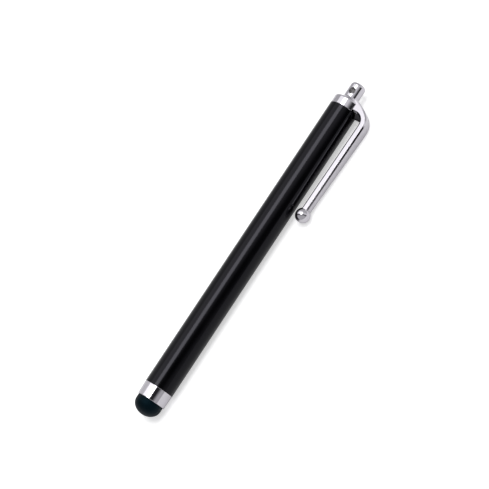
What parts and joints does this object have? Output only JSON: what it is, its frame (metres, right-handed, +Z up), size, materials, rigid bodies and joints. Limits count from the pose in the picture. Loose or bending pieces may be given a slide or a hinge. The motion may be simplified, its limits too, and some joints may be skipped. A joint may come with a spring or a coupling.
{
  "type": "stylus pen",
  "caption": "Slim stylus pen for touch screens, with a soft rubber tip in a chrome ferrule, a gloss black barrel, a sprung ball-ended pocket clip and a drilled lanyard stem.",
  "frame": {"origin": "centre of the lying pen's box, on the table that the barrel and clip rest on", "axes": "+X from the rubber tip to the lanyard stem, +Y away from the clip, +Z up"},
  "size_m": [0.1166, 0.0146, 0.009],
  "materials": {
    "lacquer": "gloss black lacquer on aluminium",
    "chrome": "bright chrome plate",
    "rubber": "satin conductive silicone",
    "brass": "turned brass",
    "nylon": "natural nylon"
  },
  "bodies": {
    "pen": {"barrel": "lacquer", "tip_ferrule": "chrome", "tip_core": "brass", "end_cap": "chrome", "cap_bush": "nylon"},
    "clip": {"clip": "chrome", "clip_ball": "chrome"},
    "tip": {"tip_dome": "rubber"}
  },
  "joints": [
    {"name": "clip_flex", "type": "hinge", "parent": "pen", "child": "clip", "pos_m": [0.05202, -0.00162, 0.00348], "axis": [0, -0.2315, 0.9728], "range_deg": [-1.6, 5], "stiffness_Nm_per_rad": 1},
    {"name": "tip_press", "type": "slide", "parent": "pen", "child": "tip", "axis": [1, 0, 0], "range_m": [0, 0.0008], "stiffness_N_per_m": 1000}
  ]
}
